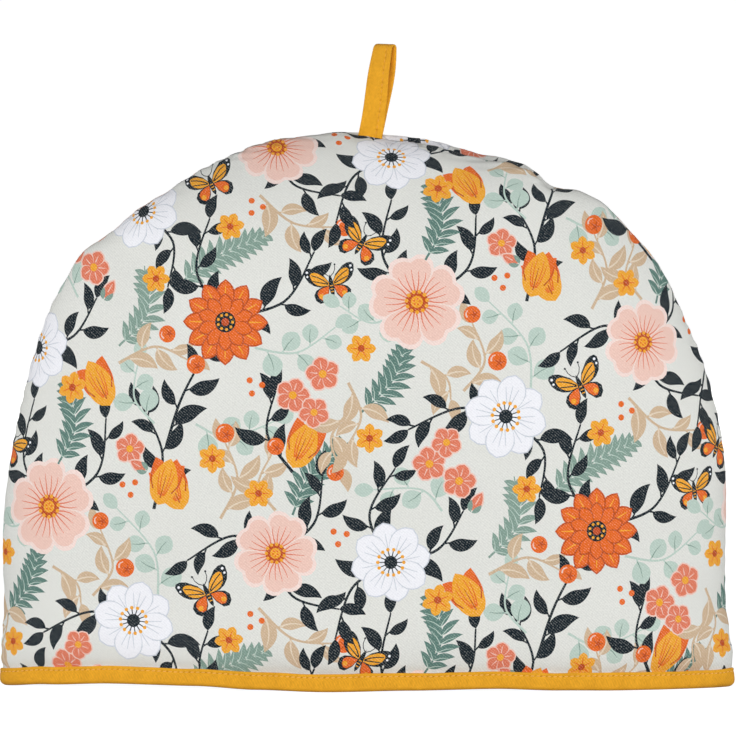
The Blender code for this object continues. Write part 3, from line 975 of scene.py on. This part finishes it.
def amber_weave(tree, place):
    return twill(tree, place, AMBER_RIB, AMBER_RIB)


def amber_colour(tree, place, ribs):
    """Amber with darker flecks between the ribs, clouds where the dye took unevenly, and painted shade in the
    needle holes.
    """
    fleck = node(tree, "TexNoise", {"Vector": place, "Scale": 1 / DYE_FLECK / MM, "Detail": 2.0})
    cloud = node(tree, "TexNoise", {"Vector": place, "Scale": 1 / DYE_CLOUD / MM, "Detail": 3.0})
    flecks = node(tree, "Math", [fleck, 0.6, -0.09], operation="MULTIPLY_ADD")
    uneven = node(tree, "Math", [cloud, 0.5, flecks], operation="MULTIPLY_ADD")
    ramp = node(tree, "ValToRGB", [node(tree, "Math", [ribs, 0.2, uneven], operation="MULTIPLY_ADD")])
    for stop, at, dye in zip(ramp.node.color_ramp.elements, (0.2, 0.75), ("#CE9021", "#F1AE2F")):
        stop.position = at
        stop.color = linear(dye)
    # Painted shade: the needle holes are mixed towards a deep amber, standing in for the shadow inside each
    # hole.
    hole = node(tree, "Attribute", out="Fac", attribute_name="needle hole")
    deep = node(tree, "Math", [hole, 0.8], operation="MULTIPLY")
    return node(tree, "Mix", {0: deep, 6: ramp, 7: linear("#A8640F")}, 2, data_type="RGBA")


# Plain amber twill: warm, matt and slightly mottled, with painted shade in its needle holes.
amber_twill = matt_cotton("amber cotton twill", amber_weave, amber_colour, 0.04, 0.10)


def hem_place(share, grow, height):
    """Points round the hem: share is 0 at its left end and runs along the front, then the back."""
    q = np.interp(share, hem_walk, hem_q)
    flat_dome = dome(np.abs(math.pi - q), np.full(len(q), FLARE_FROM), grow)
    in_front = (q <= math.pi)[:, None]
    point = np.where(in_front, settled(flat_dome.copy(), -1), settled(flat_dome.copy(), 1))
    point[:, 2] += height - FLARE_FROM
    return point


hem_q, hem_walk = np.linspace(0, math.tau, 6001), np.linspace(0, 1, 6001)
hem_walk = walked(hem_place(hem_walk, OUTSIDE, 4.0))
HEM_LENGTH = hem_walk[-1]
hem_walk = hem_walk / HEM_LENGTH
STITCHES = round(HEM_LENGTH / STITCH_PITCH)


def hem_ends(share):
    """1 round the hem's left end and 1 round its right end, where the panels' seam comes down."""
    return [np.maximum(way * np.cos(share * math.tau), 0.0) ** 30 for way in (1, -1)]


def hem_top(share):
    """The binding's upper edge, which hand and needle leave a little wavy."""
    at = share * math.tau
    ends = -0.3 * np.maximum(np.cos(at), 0.0) ** 40 + 0.7 * np.maximum(-np.cos(at), 0.0) ** 400
    wavy = 0.16 * np.sin(5 * at + 0.6) + 0.10 * np.sin(13 * at) + 0.05 * np.sin(37 * at)
    return BINDING_TOP + ends + wavy


def hem_in(share, height):
    """How far in the binding is drawn: as a whole along the panels, and at its top round the ends."""
    left, right = hem_ends(share)
    return 1.0 - left - right + (0.3 * left + 0.8 * right) * (height / hem_top(share)) ** 1.5


def hem_section(share, hole):
    """The binding's section at each share, once round from below: (grow, height, how much hole)."""
    top = hem_top(share)
    fold = FOLD_ROUND + (END_ROUND - FOLD_ROUND) * sum(hem_ends(share))
    slack = 0.10 * np.sin(share * math.tau * 29 + 2 * np.sin(share * math.tau * 7))

    def corner(middle, first):
        """A quarter round of the fold, from an angle in degrees."""
        angles = [math.radians(first + 15 * k) for k in range(7)]
        return [(middle + fold * math.cos(a), fold + fold * math.sin(a), 0.0) for a in angles]

    outer = [(3.4, 0.04 + slack, 0.0), (2.5, slack, 0.0), (2.05, -0.07, 0.0),
             (STITCH_BELOW, -GROOVE_DEEP - HOLE_DEEP * hole, hole)]
    outer += [(*row, 0.0) for row in OUTER_LIP]
    inner = [(*row, 0.0) for row in INNER_LIP]
    inner += [(STITCH_BELOW + INNER_LOWER, GROOVE_DEEP + HOLE_DEEP * hole, hole),
              (2.45, 0.07, 0.0), (3.6, 0.0, 0.0)]
    section = corner(OUTSIDE - fold, -90)
    section += [(OUTSIDE + out, top - down, pierced) for down, out, pierced in outer]
    section += [(OUTSIDE - DOUBLED, 1.2, 0.0), (INSIDE + DOUBLED, 1.2, 0.0)]
    section += [(INSIDE + out, top - down, pierced) for down, out, pierced in inner]
    section += corner(INSIDE + fold, 180)
    rows = [np.broadcast_arrays(*row, top)[:3] for row in section]
    return [(grow - hem_in(share, height), height, pierced) for grow, height, pierced in rows]


def swept(name, rings, walk, closed, holes):
    """Amber cloth swept through rings of points (stations, points, 3), each so far along its walk."""
    count, around = rings.shape[:2]
    i, j = np.meshgrid(np.arange(count if closed else count - 1), np.arange(around), indexing="ij")
    i2, j2 = (i + 1) % count, (j + 1) % around
    faces = np.stack([i * around + j, i2 * around + j, i2 * around + j2, i * around + j2], axis=-1)
    faces = faces.reshape(-1, 4).tolist()
    girth = walked(np.concatenate([rings[0], rings[0][:1]]))
    u = walk[np.stack([i, i + 1, i + 1, i], axis=-1)]
    v = girth[np.stack([j, j, j + 1, j + 1], axis=-1)]
    places = np.stack([u, v], axis=-1).reshape(-1, 2)
    if not closed:
        faces += [list(range(around)), list(range((count - 1) * around, count * around))[::-1]]
        places = np.concatenate([places, np.zeros((2 * around, 2))])
    made = piece_of(name, rings.reshape(-1, 3), faces, [amber_twill], places)
    # The needle holes' mask, which the amber material turns into painted shade.
    made.data.attributes.new("needle hole", "FLOAT", "POINT").data.foreach_set("value", holes.ravel())
    return made


stations = STITCHES * STATIONS_PER_STITCH
station_share = np.arange(stations) / stations
needle_hole = np.zeros(stations)
needle_hole[::STATIONS_PER_STITCH] = np.random.default_rng(7).uniform(0.3, 1.0, STITCHES)
hem_rows = hem_section(station_share, needle_hole)
hem_rings = np.stack([hem_place(station_share, grow, height) for grow, height, _ in hem_rows], axis=1)
# Where the needle holes are, for the painted shade that the amber material puts in them.
hem_hole_shade = np.stack([hole for _, _, hole in hem_rows], axis=1)
hem_distance = np.arange(stations + 1) / stations * HEM_LENGTH
binding = swept("hem_binding_cloth", hem_rings, hem_distance, True, hem_hole_shade)
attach(binding, "root")
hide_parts("hem_binding")


# ---- The stitching -----------------------------------------------------------------------
# A lockstitch of pale amber thread through binding and panels: each stitch lies a little
# aslant in the groove and dives into its needle holes. It shows on both sides.

THREAD = 0.42
THREAD_ROWS, THREAD_SIDES = 7, 8
HEM_STITCH = 1.9  # the length of a stitch that shows
STITCH_SINKS, STITCH_SLANT = 0.12, 0.14


def polyester_thread(name, colour):
    return new_material(name, {"Base Color": linear(colour), "Roughness": 0.55})[0]


# Smooth thread, paler than the cloth and a little glossier.
pale_thread = polyester_thread("pale amber thread", "#EFBC5C")
# The same thread in the cloth's own amber, which hardly shows.
amber_thread = polyester_thread("amber thread", "#E4A236")


def stitches(name, thread, middles, ways, outs, long):
    """Stitches at middles, lying along ways and standing up towards outs, some sunk deeper."""
    sunk = np.random.default_rng(11).uniform(-0.04, 0.10, len(middles))
    middles = middles - outs * sunk[:, None]
    rows, sides = THREAD_ROWS, THREAD_SIDES
    t = np.linspace(-1, 1, rows)
    a = np.arange(sides) / sides * math.tau
    radius = THREAD / 2 * np.sqrt(1 - 0.995 * t**6) * (1 - 0.12 * t**2)
    stands = 0.10 - 0.22 * t**4
    over = np.cross(ways, outs)
    across = (radius[:, None] * np.cos(a))[None, :, :, None] * over[:, None, None, :]
    up = (stands[:, None] + radius[:, None] * np.sin(a))[None, :, :, None] * outs[:, None, None, :]
    on = (t * long / 2)[None, :, None, None] * ways[:, None, None, :]
    points = (middles[:, None, None, :] + on + across + up).reshape(-1, 3)
    one = []
    for r in range(rows - 1):
        for k in range(sides):
            k2 = (k + 1) % sides
            one.append([r * sides + k, r * sides + k2, (r + 1) * sides + k2, (r + 1) * sides + k])
    one += [list(range(sides))[::-1], list(range((rows - 1) * sides, rows * sides))]
    faces = [[i + m * rows * sides for i in f] for m in range(len(middles)) for f in one]
    made = piece_of(name, points, faces, [thread])
    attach(made, "root")
    return made


def hem_stitch_row(face, out, below):
    """Where the stitches of the outer or the inner row lie: middles, ways and outs."""
    at = (np.arange(STITCHES) + 0.5) / STITCHES
    half = 0.5 / STITCHES
    height = hem_top(at) - below
    grow = face - out * STITCH_SINKS - hem_in(at, height)
    start = hem_place((at - half) % 1, grow, height - STITCH_SLANT)
    end = hem_place((at + half) % 1, grow, height + STITCH_SLANT)
    ways = unit(end - start)
    outs = unit(np.cross(ways, (0.0, 0.0, 1.0))) * out
    return hem_place(at, grow, height), ways, outs


outer_row = hem_stitch_row(OUTSIDE, 1, STITCH_BELOW)
inner_row = hem_stitch_row(INSIDE, -1, STITCH_BELOW + INNER_LOWER)
both_rows = [np.concatenate(pair) for pair in zip(outer_row, inner_row)]
hem_stitches = stitches("hem_stitches", pale_thread, *both_rows, HEM_STITCH)


# ---- The hanging loop --------------------------------------------------------------------
# A tape of the same amber twill, folded along one edge and stitched along the other, then
# folded over and caught by both ends in the crown's seam. It leans and turns a little.

LOOP_WIDE, LOOP_THICK = 11.4, 1.15
LOOP_ROOT, LOOP_SHOWS, LOOP_TOP = 253.0, 258.0, 301.5
LOOP_FOLD = 2.0  # how far under its top the legs begin to bend over
LOOP_SHUT, LOOP_OPEN = 0.7, 2.1  # half the gap between its legs, and how much more where widest
OPEN_AT, OPEN_REACH = 0.63, 0.35  # where that is, in parts of the way up
LOOP_X, LOOP_Y = 1.0, -2.4  # the middle of its foot
LEANS_RIGHT, BOWS_LEFT, LEANS_BACK = 9.3, 2.2, 1.6  # by its top
TURN_BELOW, TURN_ABOVE = 0.17, 0.57  # radians at its foot, and how much more at its top
LOOP_STEP = 0.42
LOOP_STITCH_AT, LOOP_PITCH, LOOP_STITCH = 2.7, 2.8, 1.8
LOOP_SUNK = 0.30
LOOP_GROOVE, GROOVE_WIDE, LOOP_HOLE = 0.20, 0.42, 0.25
# Where the tape has points across it, closest in the groove.
LOOP_ACROSS = [-4.7, -3.4, -2.0, -0.6, 0.8, 1.8, 2.2, 2.45, 2.7, 2.95, 3.2, 3.6, 4.2, 4.7]


def loop_rise(height):
    return np.clip((height - LOOP_SHOWS) / (LOOP_TOP - LOOP_SHOWS), 0.0, 1.0)


def half_open(height):
    """Half the gap between the tape's legs, which is widest under the fold."""
    return LOOP_SHUT + LOOP_OPEN * np.exp(-(((loop_rise(height) - OPEN_AT) / OPEN_REACH) ** 2))


def loop_line():
    """The tape's middle layer as (out, height), up the front, over the fold and down the back."""
    top = LOOP_TOP - LOOP_THICK / 2
    fold_from = top - LOOP_FOLD
    up = np.arange(LOOP_ROOT, fold_from, LOOP_STEP)
    a = np.linspace(math.pi, math.pi / 2, 9)
    leg = np.stack([-half_open(up), up], axis=1)
    bend = np.stack([half_open(fold_from) * np.cos(a), fold_from + LOOP_FOLD * np.sin(a)], axis=1)
    rise = np.concatenate([leg, bend])
    return np.concatenate([rise, (rise * (-1, 1))[-2::-1]])


tape_line = loop_line()
tape_run = np.gradient(tape_line, axis=0)
tape_out = unit(np.stack([-tape_run[:, 1], tape_run[:, 0]], axis=1))
tape_walk = walked(tape_line)


def loop_place(walk, across, out):
    """Points of the tape: so far along it, across it and out of its middle layer."""
    middle = [np.interp(walk, tape_walk, tape_line[:, k]) for k in (0, 1)]
    aside = [np.interp(walk, tape_walk, tape_out[:, k]) for k in (0, 1)]
    o, height = middle[0] + out * aside[0], middle[1] + out * aside[1]
    s = loop_rise(height)
    turn = TURN_BELOW + TURN_ABOVE * s**1.1
    x = LOOP_X + LEANS_RIGHT * s - BOWS_LEFT * s**2 + across * np.cos(turn) + o * np.sin(turn)
    y = LOOP_Y + LEANS_BACK * s - across * np.sin(turn) + o * np.cos(turn)
    return np.stack([x, y, height], axis=-1)


half_thick, edge = LOOP_THICK / 2, (LOOP_WIDE - LOOP_THICK) / 2
round_turns = np.linspace(0.5, 2.64, 5)
edge_round = [(edge + half_thick * math.sin(t), -half_thick * math.cos(t)) for t in round_turns]
tape_section = [(a, half_thick) for a in LOOP_ACROSS[::-1]] + [(-a, -out) for a, out in edge_round]
tape_section += [(a, -half_thick) for a in LOOP_ACROSS] + edge_round
tape_hole = (0.5 + 0.5 * np.cos(tape_walk / LOOP_PITCH * math.tau)) ** 7
tape_hole *= 0.6 + 0.4 * np.sin(tape_walk * 0.9)  # some holes are pulled wider
# Besides sinking the holes, their mask goes to the amber material, which paints shade into them.
tape_rings, tape_hole_shade = [], []
for across, out in tape_section:
    groove = math.exp(-(((across - LOOP_STITCH_AT) / GROOVE_WIDE) ** 2))
    sunk = math.copysign(groove, out) * (LOOP_GROOVE + LOOP_HOLE * tape_hole)
    tape_rings.append(loop_place(tape_walk, across, out - sunk))
    tape_hole_shade.append(groove * tape_hole)
loop = swept("hanging_loop_cloth", np.stack(tape_rings, axis=1), tape_walk, False,
             np.stack(tape_hole_shade, axis=1))
loop_at = np.arange(LOOP_PITCH / 2, tape_walk[-1] - 1, LOOP_PITCH)
loop_middles = loop_place(loop_at, LOOP_STITCH_AT, half_thick - LOOP_SUNK)
loop_ways = unit(loop_place(loop_at + 0.5, LOOP_STITCH_AT + 0.05, half_thick)
                 - loop_place(loop_at - 0.5, LOOP_STITCH_AT - 0.05, half_thick))
loop_outs = unit(loop_place(loop_at, LOOP_STITCH_AT, half_thick + 0.5) - loop_middles)
loop_stitches = stitches("loop_stitches", amber_thread, loop_middles, loop_ways, loop_outs, LOOP_STITCH)
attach(loop, "root")
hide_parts("hanging_loop")


# ---- The table and the light -------------------------------------------------------------
# A white table in a white studio. One broad softbox stands in front, a little above the cosy,
# and a smaller one to each side and behind it. The camera is far off and 2.6 degrees above
# level, with a lens so long that the cosy fills the picture.

CAMERA_FAR, CAMERA_RISE, CAMERA_TILT = 12.0, math.radians(2.6), math.radians(0.1)
COSY_MIDDLE = (0.0, 0.0, 0.13)
WHITE = (1.0, 1.0, 1.0, 1.0)
TABLE_GREY = (0.27, 0.27, 0.27, 1.0)  # as the cosy is lit by it; it looks white to the camera

bpy.ops.mesh.primitive_plane_add(size=60.0, location=(0.0, 0.0, 0.0))
floor = bpy.context.object
floor.name = "floor"
white_table = bpy.data.materials.new("white table")
white_table.use_nodes = True
table = white_table.node_tree
table.nodes.clear()
dull = node(table, "BsdfDiffuse", {"Color": TABLE_GREY})
bright = node(table, "AddShader", [dull, node(table, "Emission", {"Strength": 0.98})])
choice = node(table, "MixShader", [node(table, "LightPath", out="Is Camera Ray"), dull, bright])
node(table, "OutputMaterial", {"Surface": choice})
floor.data.materials.append(white_table)

world = bpy.data.worlds.new("studio")
bpy.context.scene.world = world
world.use_nodes = True
sky = world.node_tree
sky.nodes.clear()
# The camera sees plain white, but the room lights the cosy less and less from level upwards.
seen = node(sky, "Background", {"Strength": 1.0, "Color": WHITE})
over = node(sky, "TexCoord", out="Generated")
rise = node(sky, "SeparateXYZ", [over], "Z")
falling = node(sky, "Math", [rise, -1.25, 0.82], operation="MULTIPLY_ADD")
dimmer = node(sky, "Math", [falling, 0.04], operation="MAXIMUM")
lit = node(sky, "Background", {"Color": WHITE, "Strength": dimmer})
choice = node(sky, "MixShader", [node(sky, "LightPath", out="Is Camera Ray"), lit, seen])
node(sky, "OutputWorld", {"Surface": choice})


def added(name, data, place, aim):
    """Puts a light or the camera at its place and points it."""
    made = bpy.data.objects.new(name, data)
    made.location = place
    made.rotation_euler = (Vector(aim) - Vector(place)).to_track_quat("-Z", "Y").to_euler()
    bpy.context.scene.collection.objects.link(made)
    return made


for name, place, wide, high, watts in [
    ("front softbox", (0.0, -3.0, 0.45), 3.4, 1.0, 83.0),
    ("left softbox", (-2.0, 0.0, 0.25), 1.2, 0.8, 12.5),
    ("right softbox", (2.0, 0.0, 0.25), 1.2, 0.8, 12.5),
    ("back softbox", (0.3, 3.0, 0.4), 2.4, 0.8, 30.0),
]:
    softbox = bpy.data.lights.new(name, "AREA")
    softbox.shape = "RECTANGLE"
    softbox.size, softbox.size_y, softbox.energy = wide, high, watts
    added(name, softbox, place, COSY_MIDDLE)

camera_data = bpy.data.cameras.new("camera")
camera_data.sensor_width = 36.0
camera_data.lens = 1257.0
camera_data.clip_end = 60.0
aim = Vector((0.0002, -0.057, 0.1519))
camera_place = aim + CAMERA_FAR * Vector((0.0, -math.cos(CAMERA_RISE), math.sin(CAMERA_RISE)))
camera = added("camera", camera_data, camera_place, aim)
camera.rotation_euler.rotate_axis("Z", CAMERA_TILT)  # held a touch aslant
bpy.context.scene.camera = camera
bpy.context.scene.view_settings.view_transform = "Standard"
